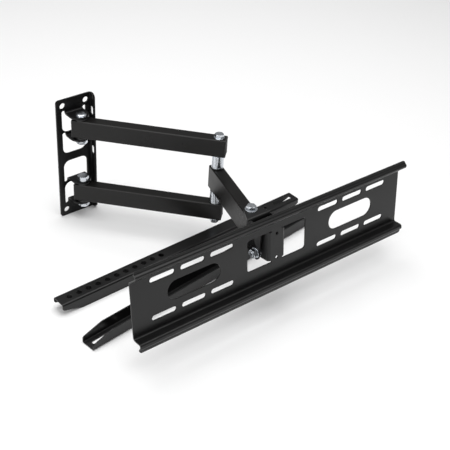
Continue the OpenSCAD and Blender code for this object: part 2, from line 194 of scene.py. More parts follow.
@dataclass(frozen=True)
class Bend:
    """One bend in a flat sheet.

    Attributes:
        start: Distance of the bend's first line from the sheet's origin, along its way.
        way: The direction in which the flap leaves.
        angle: The turn in radians, positive towards the front.
        radius: The radius of the side of the metal on which the sheet is laid out.
        span: The stretch along the bend line that the flap covers.
        reach: How far from the bend line the flap goes, in the flat.
        tip: The radius of the flap's round end, or 0 for a square end.
        neutral: The radius that sets the bend's length in the flat, if it isn't the laid out side's.
    """

    start: float
    way: Way
    angle: float
    radius: float
    span: tuple[float, float] = (-inf, inf)
    reach: float = inf
    tip: float = 0.0
    neutral: float | None = None

    def holds(self, beyond: float, along: float) -> bool:
        """Tell whether a point is on the flap.

        Args:
            beyond: Its distance past the bend line.
            along: Its place along the bend line.

        Returns:
            True on the flap.
        """
        if not (0 < beyond < self.reach and self.span[0] < along < self.span[1]):
            return False
        past = beyond - (self.reach - self.tip)
        return not self.tip or past < 0 or hypot(past, along - sum(self.span) / 2) < self.tip

    def arc(self) -> float:
        """Return the length of the bend in the flat."""
        return abs(self.angle) * (self.neutral or self.radius)

    def applied(self, flat: Vector, place: Vector) -> Vector:
        """Move one point as this bend does.

        Args:
            flat: The point in the unbent sheet.
            place: Where the bends further out have put it.

        Returns:
            Its new place.
        """
        out = Vector(self.way.value)
        front = Vector((0.0, -1.0, 0.0))
        beyond = flat.dot(out) - self.start
        along = flat.x if abs(out.z) > 0.5 else flat.z
        if not self.holds(beyond, along):
            return place
        turned = min(beyond, self.arc()) / self.arc() * abs(self.angle)
        side = 1 if self.angle > 0 else -1
        base = out * (self.start + min(beyond, self.arc()))
        new_out = out * cos(turned) + front * sin(turned) * side
        new_front = front * cos(turned) - out * sin(turned) * side
        offset = place - base
        origin = out * (self.start + self.radius * sin(turned))
        origin += front * self.radius * (1 - cos(turned)) * side
        rest = offset - out * offset.dot(out) - front * offset.dot(front)
        return origin + new_out * offset.dot(out) + new_front * offset.dot(front) + rest


def bends_along(path: Profile, radii: Sequence[float], way: Way) -> tuple[list[Bend], float]:
    """Find the bends that lay a sheet along a path.

    Args:
        path: Points from the sheet's middle outwards, as depth behind the face and height.
        radii: The radius at each inner point, on the sheet's laid out side.
        way: The direction in which the path leaves the middle.

    Returns:
        The bends from the innermost, and the length of the path in the flat.
    """
    points = [Vector(p) for p in path]
    bends: list[Bend] = []
    flat = 0.0
    spent = 0.0
    for before, here, after, radius in zip(points, points[1:], points[2:], radii):
        a, b = here - before, after - here
        turn = (a.x * b.y - a.y * b.x) * (1 if way is Way.UP else -1)
        angle = a.angle(b) * (1 if turn > 0 else -1)
        cut = radius * tan(abs(angle) / 2)
        start = flat + a.length - spent - cut
        bends.append(Bend(start, way, angle, radius))
        flat = start + radius * abs(angle)
        spent = cut
    return bends, flat + (points[-1] - points[-2]).length - spent


@dataclass
class Sheet:
    """A sheet metal blank: outlines in its plane, then its bends.

    Attributes:
        edge: The blank's outer outline.
        thickness: The metal's thickness. Not used here; the piece's wall gives the sheet its thickness.
        skin: The side on which the outlines lie.
        openings: The outlines of its holes.
        bends: The bends, each list from the innermost outwards.
        weld: The distance within which corners are joined.
        chords: The number of flat strips that stand for one bend.
    """

    edge: list[Vector]
    thickness: float
    skin: Skin
    openings: list[list[Vector]] = field(default_factory=list)
    bends: list[Bend] = field(default_factory=list)
    weld: float = 0.15
    chords: int = 8

    def build(self) -> bmesh.types.BMesh:
        """Fill the blank, cut it along its bends and fold it.

        Returns:
            The folded sheet, open, with its normals towards its skin.
        """
        bm = bmesh.new()
        for outline in [self.edge, *self.openings]:
            verts = [bm.verts.new((p.x, 0.0, p.y)) for p in outline]
            for a, b in zip(verts, verts[1:] + verts[:1]):
                bm.edges.new((a, b))
        normal = (0.0, self.skin.value, 0.0)
        bmesh.ops.triangle_fill(bm, edges=bm.edges[:], use_beauty=True, normal=normal)
        self._cut(bm)
        for face in bm.faces:
            face.normal_update()
        wrong = [f for f in bm.faces if f.normal.y * self.skin.value < 0]
        bmesh.ops.reverse_faces(bm, faces=wrong)
        for vert in bm.verts:
            flat = vert.co.copy()
            place = flat.copy()
            for bend in reversed(self.bends):
                place = bend.applied(flat, place)
            vert.co = place
        bmesh.ops.remove_doubles(bm, verts=bm.verts[:], dist=self.weld)
        bmesh.ops.dissolve_limit(
            bm, angle_limit=radians(0.5), verts=bm.verts[:], edges=bm.edges[:], delimit=set()
        )
        bmesh.ops.dissolve_degenerate(bm, edges=bm.edges[:], dist=0.05)
        bm.normal_update()
        return bm

    def _cut(self, bm: bmesh.types.BMesh) -> None:
        """Divide the blank along the lines of every bend.

        Args:
            bm: The filled blank.
        """
        stations = {
            (bend.way, round(bend.start + bend.arc() * k / self.chords, 4))
            for bend in self.bends
            for k in range(self.chords + 1)
        }
        for way, distance in sorted(stations, key=lambda s: (s[0].name, s[1])):
            out = Vector(way.value)
            geometry = bm.verts[:] + bm.edges[:] + bm.faces[:]
            bmesh.ops.bisect_plane(
                bm, geom=geometry, dist=1e-5, plane_co=out * distance, plane_no=out
            )


def turned(profile: Profile, steps: int = 64) -> bmesh.types.BMesh:
    """Turn a closed profile about the z axis.

    Args:
        profile: Radius and height of each corner. Points on the axis stay single.
        steps: The number of faces round the piece.

    Returns:
        The closed solid.
    """
    bm = bmesh.new()
    verts = [bm.verts.new((radius, 0.0, z)) for radius, z in profile]
    pairs = list(zip(verts, verts[1:] + verts[:1]))
    edges = [bm.edges.new(p) for p in pairs if max(abs(v.co.x) for v in p) > 1e-6]
    bmesh.ops.spin(
        bm, geom=verts + edges, cent=(0, 0, 0), axis=(0, 0, 1), angle=2 * pi, steps=steps, use_merge=True
    )
    bmesh.ops.remove_doubles(bm, verts=bm.verts[:], dist=1e-3)
    bmesh.ops.recalc_face_normals(bm, faces=bm.faces[:])
    return bm


def hexagon(flats: float, low: float, high: float, bore: float, both: bool) -> bmesh.types.BMesh:
    """Make a hexagon with its corners turned down to a cone.

    Args:
        flats: Width across the flats.
        low, high: The heights of its faces.
        bore: Diameter of the hole, or 0 for a closed head.
        both: Whether the lower face is turned down too.

    Returns:
        The closed solid.
    """
    sides = 72
    crown = flats / 2 * 0.96
    slope = tan(radians(28))
    bm = bmesh.new()
    loops = []
    middle = (low + high) / 2
    rings = [(low, "bore"), (low, "crown"), (low, "hex"), (high, "hex"), (high, "crown"), (high, "bore")]
    for level, kind in rings if bore else rings[1:-1]:
        ring = bmesh.ops.create_circle(bm, cap_ends=False, radius=1.0, segments=sides)["verts"]
        for vert in ring:
            angle = atan2(vert.co.y, vert.co.x)
            corner = (angle + pi / 6) % (pi / 3) - pi / 6
            reach = flats / 2 / cos(corner)
            radius = {"bore": bore / 2, "crown": crown, "hex": reach}[kind]
            drop = (reach - crown) * slope if kind == "hex" and (both or level > middle) else 0.0
            z = level - drop if level > middle else level + drop
            vert.co = (radius * cos(angle), radius * sin(angle), z)
        loops.append(list({e for v in ring for e in v.link_edges}))
    for a, b in zip(loops, loops[1:] + loops[:1] if bore else loops[1:]):
        bmesh.ops.bridge_loops(bm, edges=a + b)
    if not bore:
        bmesh.ops.holes_fill(bm, edges=bm.edges[:], sides=0)
    bmesh.ops.recalc_face_normals(bm, faces=bm.faces[:])
    return bm


def joined(parts: Sequence[tuple[bmesh.types.BMesh, Matrix]]) -> bmesh.types.BMesh:
    """Put several solids into one.

    Args:
        parts: Each solid with its place.

    Returns:
        One bmesh with all of them.
    """
    whole = bmesh.new()
    for bm, place in parts:
        mesh = bpy.data.meshes.new("part")
        bmesh.ops.transform(bm, matrix=place, verts=bm.verts[:])
        if place.determinant() < 0:
            bmesh.ops.reverse_faces(bm, faces=bm.faces[:])
        bm.to_mesh(mesh)
        bm.free()
        whole.from_mesh(mesh)
        bpy.data.meshes.remove(mesh)
    return whole


def shift(x: float = 0.0, y: float = 0.0, z: float = 0.0) -> Matrix:
    """Return a move by x, y and z."""
    return Matrix.Translation((x, y, z))


def turn(degrees: float, axis: str) -> Matrix:
    """Return a turn about an axis, in degrees."""
    return Matrix.Rotation(radians(degrees), 4, axis)


def flip() -> Matrix:
    """Return a mirror that puts the top at the bottom."""
    return Matrix.Diagonal((1.0, 1.0, -1.0, 1.0))


# Finishes


@dataclass(frozen=True)
class Finish:
    """A surface with fine relief and uneven gloss.

    Attributes:
        name: The material's name.
        colour: Its base colour.
        roughness: The lowest and the highest roughness.
        relief_scale: Grains of the fine relief in a metre.
        relief: The relief's depth in metres.
        patch_scale: Patches of uneven gloss in a metre.
        metallic: 1 on bare metal.
        tint: The colour that the patches lean to.
        coat: Weight of a clear top layer.
        specular: The strength of the reflections.
    """

    name: str
    colour: tuple[float, float, float]
    roughness: tuple[float, float]
    relief_scale: float
    relief: float
    patch_scale: float
    metallic: float = 0.0
    tint: tuple[float, float, float] | None = None
    coat: float = 0.0
    specular: float = 0.5

    def material(self) -> bpy.types.Material:
        """Build the material.

        Returns:
            The node material, made once and shared.
        """
        if self.name in bpy.data.materials:
            return bpy.data.materials[self.name]
        material = bpy.data.materials.new(self.name)
        material.use_nodes = True
        nodes, links = material.node_tree.nodes, material.node_tree.links
        shader = nodes["Principled BSDF"]
        shader.inputs["Metallic"].default_value = self.metallic
        shader.inputs["Coat Weight"].default_value = self.coat
        shader.inputs["Specular IOR Level"].default_value = self.specular
        place = nodes.new("ShaderNodeTexCoord").outputs["Object"]
        patches = self._noise(nodes, links, place, self.patch_scale, 3.0)
        gloss = nodes.new("ShaderNodeMapRange")
        gloss.inputs["From Min"].default_value = GLOSS_SPREAD[0]
        gloss.inputs["From Max"].default_value = GLOSS_SPREAD[1]
        gloss.inputs["To Min"].default_value = self.roughness[0]
        gloss.inputs["To Max"].default_value = self.roughness[1]
        links.new(patches, gloss.inputs["Value"])
        links.new(gloss.outputs["Result"], shader.inputs["Roughness"])
        blend = nodes.new("ShaderNodeMix")
        blend.data_type = "RGBA"
        blend.inputs["A"].default_value = (*self.colour, 1.0)
        blend.inputs["B"].default_value = (*(self.tint or self.colour), 1.0)
        links.new(patches, blend.inputs["Factor"])
        links.new(blend.outputs["Result"], shader.inputs["Base Color"])
        bump = nodes.new("ShaderNodeBump")
        bump.inputs["Strength"].default_value = 1.0
        bump.inputs["Distance"].default_value = self.relief
        links.new(self._noise(nodes, links, place, self.relief_scale, 2.0), bump.inputs["Height"])
        links.new(bump.outputs["Normal"], shader.inputs["Normal"])
        return material

    @staticmethod
    def _noise(nodes: Any, links: Any, place: Any, scale: float, detail: float) -> Any:
        """Add one noise.

        Args:
            nodes, links: The tree's nodes and links.
            place: The socket that gives coordinates.
            scale: Grains in a metre.
            detail: Octaves.

        Returns:
            The socket with its value.
        """
        noise = nodes.new("ShaderNodeTexNoise")
        noise.inputs["Scale"].default_value = scale
        noise.inputs["Detail"].default_value = detail
        links.new(place, noise.inputs["Vector"])
        return noise.outputs["Fac"]


COAT = dict(relief_scale=700.0, relief=0.000025, patch_scale=25.0)
FINISHES = {
    Slot.WEB: Finish(
        "satin_black_coat", (0.004, 0.004, 0.0045), (0.28, 0.36),
        tint=(0.006, 0.006, 0.006), specular=0.22, **COAT,
    ),
    Slot.TUBE: Finish(
        "black_tube_coat", (0.0045, 0.0042, 0.004), (0.26, 0.34),
        tint=(0.006, 0.0055, 0.005), specular=0.30, **COAT,
    ),
    Slot.PLATE: Finish(
        "black_plate_coat", (0.006, 0.006, 0.006), (0.28, 0.36),
        tint=(0.008, 0.008, 0.008), specular=0.36, **COAT,
    ),
    Slot.RAIL: Finish(
        "black_rail_coat", (0.006, 0.006, 0.0063), (0.28, 0.38),
        tint=(0.008, 0.008, 0.0078), specular=0.32, **COAT,
    ),
    Slot.NYLON: Finish("black_nylon", (0.012, 0.012, 0.012), (0.42, 0.55), 1500.0, 0.00001, 60.0),
    Slot.PLUG: Finish("moulded_end_plug", (0.016, 0.016, 0.016), (0.45, 0.6), 1800.0, 0.000015, 60.0),
    Slot.ZINC: Finish(
        "bright_zinc", (0.60, 0.64, 0.71), (0.18, 0.30), 900.0, 0.000006, 120.0,
        metallic=1.0, tint=(0.70, 0.72, 0.73),
    ),
}


# Finished pieces


@dataclass(frozen=True)
class Piece:
    """What turns a shape into a finished piece.

    Attributes:
        name: The piece's name.
        nodes: The CAD nodes that it stands for.
        body: The body that it rides on.
        slot: The material slot that it takes its finish from.
        round_over: The width of the rounding on its sharp edges.
        wall: The thickness to give to an open sheet.
    """

    name: str
    nodes: tuple[str, ...]
    body: Body
    slot: Slot
    round_over: float = 0.3
    wall: float = 0.0

    def finish(self, bm: bmesh.types.BMesh, place: Matrix) -> bpy.types.Object:
        """Put the shape in its place, and give it its wall, soft edges, finish and body.

        Args:
            bm: The shape in millimetres, in its own frame. It is used up.
            place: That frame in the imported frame, in millimetres.

        Returns:
            The finished object.
        """
        bmesh.ops.transform(bm, matrix=Matrix.Scale(MILLIMETRE, 4) @ place, verts=bm.verts[:])
        for face in bm.faces:
            face.smooth = True
        mesh = bpy.data.meshes.new(self.name)
        bm.to_mesh(mesh)
        bm.free()
        piece = bpy.data.objects.new(self.name, mesh)
        bpy.context.scene.collection.objects.link(piece)
        mesh.materials.append(FINISHES[self.slot].material())
        if self.wall:
            wall = piece.modifiers.new("wall", "SOLIDIFY")
            wall.thickness = self.wall * MILLIMETRE
            wall.offset = -1.0
            wall.use_even_offset = False
        if self.round_over:
            edge = piece.modifiers.new("soft_edges", "BEVEL")
            edge.width = self.round_over * MILLIMETRE
            edge.segments = EDGE_SEGMENTS
            edge.limit_method = "ANGLE"
            edge.angle_limit = EDGE_ANGLE
            edge.use_clamp_overlap = False
            edge.material = -1
        normals = piece.modifiers.new("even_normals", "WEIGHTED_NORMAL")
        normals.weight = 80
        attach(piece, self.body.value)
        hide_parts(*self.nodes)
        LOG.info("%s rides on %s and stands for %s", self.name, self.body.value, ", ".join(self.nodes))
        return piece


# Fasteners


@dataclass(frozen=True)
class Thread:
    """A metric thread.

    Attributes:
        diameter: The outer diameter.
        pitch: The distance between ridges.
        flats: Width across the flats of its head and nut.
        chamfer: The depth and the length of the chamfer at the shank's end.
    """

    diameter: float
    pitch: float
    flats: float
    chamfer: tuple[float, float] = (0.2, 0.4)

    def shank(self, low: float, high: float, threaded: float) -> bmesh.types.BMesh:
        """Make a shank with ridges at its lower end.

        Args:
            low, high: The heights of its ends.
            threaded: The length of the threaded stretch.

        Returns:
            The closed solid.
        """
        radius = self.diameter / 2
        depth = self.pitch / 2
        chamfer_in, chamfer_up = self.chamfer
        profile = [(0.0, low), (radius - depth - chamfer_in, low)]
        ridges = int(threaded / self.pitch)
        for k in range(ridges):
            z = low + chamfer_up + k * self.pitch
            profile += [(radius - depth, z), (radius, z + self.pitch / 2)]
        top = low + chamfer_up + ridges * self.pitch
        profile += [(radius - depth, top), (radius, top + depth), (radius, high), (0.0, high)]
        return turned(profile, 48)


M8 = Thread(8.0, 1.25, 13.0)
M10 = Thread(10.0, 1.5, 16.0)
M8_CLEAR = 8.2


def ring(outer: float, low: float, high: float, bore: float) -> bmesh.types.BMesh:
    """Make a flat ring, such as a washer or a sleeve.

    Args:
        outer, bore: Its diameters.
        low, high: The heights of its faces.

    Returns:
        The closed solid.
    """
    return turned([(bore / 2, low), (outer / 2, low), (outer / 2, high), (bore / 2, high)])


# Sub-assemblies


@dataclass(frozen=True)
class Skeleton:
    """The frames of the moving parts, in millimetres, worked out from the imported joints.

    Attributes:
        pivot, elbow, swivel, tilt: The joints' places.
        tilt_angle: The TV plate's resting tilt in degrees, top towards the wall when negative.
    """

    pivot: Vector
    elbow: Vector
    swivel: Vector
    tilt: Vector
    tilt_angle: float = -7.0

    @classmethod
    def from_joints(cls, joints: Sequence[dict[str, Any]]) -> Skeleton:
        """Read the joints' places.

        Args:
            joints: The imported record's joints.

        Returns:
            The skeleton.
        """
        places = {j["name"]: Vector(j["pos_m"]) / MILLIMETRE for j in joints if "pos_m" in j}
        return cls(places["wall_swing"], places["elbow_swing"], places["head_swivel"], places["tv_tilt"])

    @staticmethod
    def _frame(origin: Vector, towards: Vector) -> Matrix:
        """Return the frame at origin whose -y points at the same height towards a place."""
        yaw = atan2(towards.x - origin.x, origin.y - towards.y)
        return Matrix.Translation(origin) @ Matrix.Rotation(yaw, 4, "Z")

    def arms(self) -> Matrix:
        """Return the arms' frame, at the wall pivot."""
        return self._frame(self.pivot, self.elbow)

    def forearm(self) -> Matrix:
        """Return the forearm's frame, at the elbow."""
        return self._frame(self.elbow, self.swivel)

    def head(self) -> Matrix:
        """Return the head's frame, at the swivel."""
        return self._frame(self.swivel, self.tilt)

    def tilted(self) -> Matrix:
        """Return the TV plate's frame, at the tilt bolt."""
        yaw = self.head().to_euler().z
        return Matrix.Translation(self.tilt) @ Matrix.Rotation(yaw, 4, "Z") @ turn(self.tilt_angle, "X")


@dataclass(frozen=True)
class WallPlate:
    """The wall plate: a web with one side flange and four ears folded out of its windows.

    Attributes:
        ear_round, slit_round: The shares of the ear's half width and of the slit's width that its arcs take.
        windows: Each window's edge away from the ear, and the end of the slits beside the ear.
        hole_spans: The distances between the wall screws, across and up.
    """

    skeleton: Skeleton
    width: float = 65.0
    height: float = 215.0
    thickness: float = 3.0
    bend_radius: float = 3.0
    corner_radius: float = 5.0
    flange_depth: float = 13.0
    flange_end_radius: float = 8.0
    flange_slot: tuple[float, float] = (16.0, 7.0)
    flange_slot_pitch: float = 72.0
    flange_slot_depth: float = 6.5
    hole_spans: tuple[float, float] = (42.0, 193.0)
    hole: float = 10.0
    ear_width: float = 32.0
    ear_round: float = 0.999
    slit_round: float = 0.499
    ear_reach: float = 33.0
    window_half: float = 22.0
    window_radius: float = 11.0
    arm_pitch: float = 118.0
    ear_gap: float = 36.0
    windows: tuple[tuple[float, float], ...] = ((49.0, 88.0), (9.5, 49.0), (-44.5, -84.5), (-4.0, -43.0))

    def outer_radius(self) -> float:
        """Return the bend radius of the back face."""
        return self.bend_radius + self.thickness

    def ear_roots(self) -> list[float]:
        """Return the height of each ear's root, in the order of the windows."""
        middle = self.skeleton.pivot.z
        far = self.arm_pitch / 2 + self.ear_gap / 2 + self.outer_radius()
        near = self.arm_pitch / 2 - self.ear_gap / 2 + self.bend_radius
        return [middle + far, middle + near, middle - far, middle - near]

    def ear_neutral(self) -> float:
        """Return the radius of the layer that isn't stretched where an ear is bent."""
        return self.bend_radius + 0.4 * self.thickness

    def ear_flat(self) -> float:
        """Return the length of an ear in the flat, from its root."""
        return self.ear_neutral() * pi / 2 + self.ear_reach - self.outer_radius()

    def window(self, far: float, slit: float, root: float) -> list[Vector]:
        """Outline a window round the ear that is folded out of it.

        Args:
            far: The window's edge away from the ear's root.
            slit: The end of the slits beside the root.
            root: The height of the root.

        Returns:
            The outline's points.
        """
        x = self.skeleton.pivot.x
        half, ear = self.window_half, self.ear_width / 2
        tip = root - self.ear_flat() if slit > far else root + self.ear_flat()
        slit_radius = (half - ear) * self.slit_round
        ear_radius = ear * self.ear_round
        return fillet([
            (x - half, far, self.window_radius), (x - half, slit, slit_radius), (x - ear, slit, slit_radius),
            (x - ear, tip, ear_radius), (x + ear, tip, ear_radius), (x + ear, slit, slit_radius),
            (x + half, slit, slit_radius), (x + half, far, self.window_radius),
        ])

    def openings(self) -> list[list[Vector]]:
        """Outline every window and hole.

        Returns:
            The outlines.
        """
        outlines = [self.window(f, s, r) for (f, s), r in zip(self.windows, self.ear_roots())]
        for x in (-1, 1):
            for z in (-1, 1):
                centre = (x * self.hole_spans[0] / 2, z * self.hole_spans[1] / 2)
                outlines.append(circle_outline(*centre, self.hole))
        bend_end = self.width / 2 - self.outer_radius() + self.outer_radius() * pi / 2
        across = bend_end + self.flange_slot_depth - self.outer_radius()
        for i in (-1, 0, 1):
            z = self.skeleton.pivot.z + i * self.flange_slot_pitch
            outlines.append(slot_outline(across, z, self.flange_slot[1], self.flange_slot[0]))
        for (far, slit), root in zip(self.windows, self.ear_roots()):
            out = self.ear_neutral() * pi / 2 + self.pivot_out() - self.outer_radius()
            z = root - out if slit > far else root + out
            outlines.append(circle_outline(self.skeleton.pivot.x, z, M10.diameter))
        return outlines

    def pivot_out(self) -> float:
        """Return how far the pivots stand out from the wall."""
        return -self.skeleton.pivot.y

    def bends(self) -> list[Bend]:
        """List the side flange's bend and the ears' bends.

        Returns:
            The bends.
        """
        radius = self.outer_radius()
        bends = [Bend(self.width / 2 - radius, Way.RIGHT, pi / 2, radius)]
        x, clear = self.skeleton.pivot.x, self.ear_width / 2 + 2.5
        for (far, slit), root in zip(self.windows, self.ear_roots()):
            way = Way.DOWN if slit > far else Way.UP
            start = -root if way is Way.DOWN else root
            span = (x - clear, x + clear)
            reach, tip = self.ear_flat() + 0.2, self.ear_width / 2 + 0.2
            bends.append(Bend(start, way, pi / 2, radius, span, reach, tip, self.ear_neutral()))
        return bends

    def build(self) -> None:
        """Build the plate."""
        radius = self.outer_radius()
        left, low, high = -self.width / 2, -self.height / 2, self.height / 2
        right = self.width / 2 - radius + radius * pi / 2 + self.flange_depth - radius
        edge = fillet([
            (left, low, self.corner_radius), (right, low, self.flange_end_radius),
            (right, high, self.flange_end_radius), (left, high, self.corner_radius),
        ])
        sheet = Sheet(edge, self.thickness, Skin.BACK, self.openings(), self.bends(), weld=0.3)
        piece = Piece("folded_wall_plate", ("wall_plate",), Body.WALL, Slot.WEB, 0.2, self.thickness)
        piece.finish(sheet.build(), Matrix.Identity(4))


@dataclass(frozen=True)
class WallPivots:
    """The bolts, washers and nuts on which the arms swing."""

    skeleton: Skeleton
    arm_pitch: float = 118.0
    ear_out: float = 21.0
    washer: tuple[float, float] = (17.0, 1.6)
    flat_head: tuple[float, float] = (16.0, 2.5)
    dome: tuple[float, float] = (0.6, 0.82)
    hex_head: float = 6.4
    nut: float = 5.0
    stub: float = 1.0

    def place(self, side: int) -> Matrix:
        """Return the frame at the middle of the upper (1) or the lower (-1) pivot."""
        return Matrix.Translation(self.skeleton.pivot) @ shift(z=side * self.arm_pitch / 2)

    def build(self) -> None:
        """Build the bolts, the washers and the nuts."""
        seat = self.ear_out + self.washer[1]
        low = -seat - self.nut - self.stub
        radius, height = self.flat_head[0] / 2, self.flat_head[1]
        rim, crown = seat + height * self.dome[0], radius * self.dome[1]
        top = seat + height
        head = turned([(0, seat), (radius, seat), (radius, rim), (crown, top), (0, top)])
        bolt = joined([(M10.shank(low, seat + 0.1, 9.0), shift()), (head, shift())])
        Piece("domed_wall_bolt", ("upper_wall_bolt",), Body.WALL, Slot.ZINC, 0.35).finish(bolt, self.place(1))
        head = hexagon(M10.flats, seat, seat + self.hex_head, 0.0, False)
        bolt = joined([(M10.shank(low, seat + 0.1, 9.0), shift()), (head, shift())])
        Piece("hex_wall_bolt", ("lower_wall_bolt",), Body.WALL, Slot.ZINC, 0.2).finish(bolt, self.place(-1))
        washers = [
            (ring(self.washer[0], self.ear_out, seat, M10.diameter + 0.2), place)
            for side in (1, -1) for place in (self.place(side), self.place(side) @ flip())
        ]
        piece = Piece("wall_pivot_washers", ("wall_washers",), Body.WALL, Slot.ZINC, 0.35)
        piece.finish(joined(washers), Matrix.Identity(4))
        nuts = [
            (hexagon(M10.flats, -seat - self.nut, -seat, M10.diameter, True), self.place(side))
            for side in (1, -1)
        ]
        piece = Piece("wall_pivot_nuts", ("wall_nuts",), Body.WALL, Slot.ZINC, 0.2)
        piece.finish(joined(nuts), Matrix.Identity(4))


@dataclass(frozen=True)
class BoxTube:
    """A rectangular steel tube along -y, with its bush holes and end plugs."""

    height: float
    back: float
    front: float
    width: float = 20.0
    corner: float = 2.0
    wall: float = 1.8
    cap: float = 1.5
    plug_depth: float = 4.5
    plug_wall: float = 1.6
    plug_gap: float = 0.15
    dish: tuple[float, float] = (2.2, 0.5)

    def tube(self, holes: Sequence[tuple[float, float]]) -> bmesh.types.BMesh:
        """Fold the tube's four walls from a flat strip.

        Args:
            holes: The distance along the tube and the diameter of each hole, cut in the top and the bottom.

        Returns:
            The open skin, with its normals outwards.
        """
        r, quarter = self.corner, self.corner * pi / 2
        first = self.height / 2 - r
        second = first + quarter + self.width - 2 * r
        half = second + quarter + self.height / 2 - r
        edge = fillet([
            (-half, -self.back, 0), (half, -self.back, 0), (half, self.front, 0), (-half, self.front, 0),
        ])
        middle = first + quarter + self.width / 2 - r
        openings = [circle_outline(side * middle, along, d) for along, d in holes for side in (-1, 1)]
        bends = [Bend(s, way, -pi / 2, r) for way in (Way.LEFT, Way.RIGHT) for s in (first, second)]
        bm = Sheet(edge, self.wall, Skin.FRONT, openings, bends, chords=5).build()
        upright = Matrix(((0, -1, 0, self.width / 2), (0, 0, -1, 0), (1, 0, 0, 0), (0, 0, 0, 1)))
        bmesh.ops.transform(bm, matrix=upright, verts=bm.verts[:])
        return bm

    def plug(self) -> bmesh.types.BMesh:
        """Make an end plug with its face towards +y, in front of y = 0.

        Returns:
            The closed solid.
        """
        bm = bmesh.new()
        inner = self.wall + self.plug_gap
        rim, sunk = self.dish
        for y in (0.0, self.cap):
            outline = box_outline(self.width, self.height, self.corner)
            verts = [bm.verts.new((p.x, y, p.y)) for p in outline]
            bm.faces.new(verts)
        bmesh.ops.bridge_loops(bm, edges=bm.edges[:])
        face = max(bm.faces, key=lambda f: f.calc_center_median().y * 1e3 + f.calc_area())
        bmesh.ops.inset_region(bm, faces=[face], thickness=rim, depth=0.0)
        bmesh.ops.inset_region(bm, faces=[face], thickness=sunk, depth=-sunk)
        back = min(bm.faces, key=lambda f: f.calc_center_median().y * 1e3 - f.calc_area())
        bmesh.ops.inset_region(bm, faces=[back], thickness=inner, depth=0.0)
        skirt = bmesh.ops.extrude_discrete_faces(bm, faces=[back])["faces"]
        bmesh.ops.translate(
            bm, vec=(0, -self.plug_depth, 0), verts=list({v for f in skirt for v in f.verts})
        )
        bmesh.ops.inset_region(bm, faces=skirt, thickness=self.plug_wall, depth=0.0)
        bmesh.ops.recalc_face_normals(bm, faces=bm.faces[:])
        return bm

    def plugs(self) -> bmesh.types.BMesh:
        """Return both end plugs in the tube's frame."""
        front = shift(y=-self.front) @ turn(180, "Z")
        return joined([(self.plug(), shift(y=self.back)), (self.plug(), front)])


def bush(diameter: float, bore: float, flange: tuple[float, float], depth: float) -> bmesh.types.BMesh:
    """Turn a flanged bush with its flange above z = 0.

    Args:
        diameter, bore: The sleeve's diameters.
        flange: The flange's diameter and thickness.
        depth: How far the sleeve goes into the tube.

    Returns:
        The closed solid.
    """
    rim, thick = flange[0] / 2, flange[1]
    return turned([
        (bore / 2, -depth), (diameter / 2, -depth), (diameter / 2, 0),
        (rim, 0), (rim, thick), (bore / 2, thick),
    ])


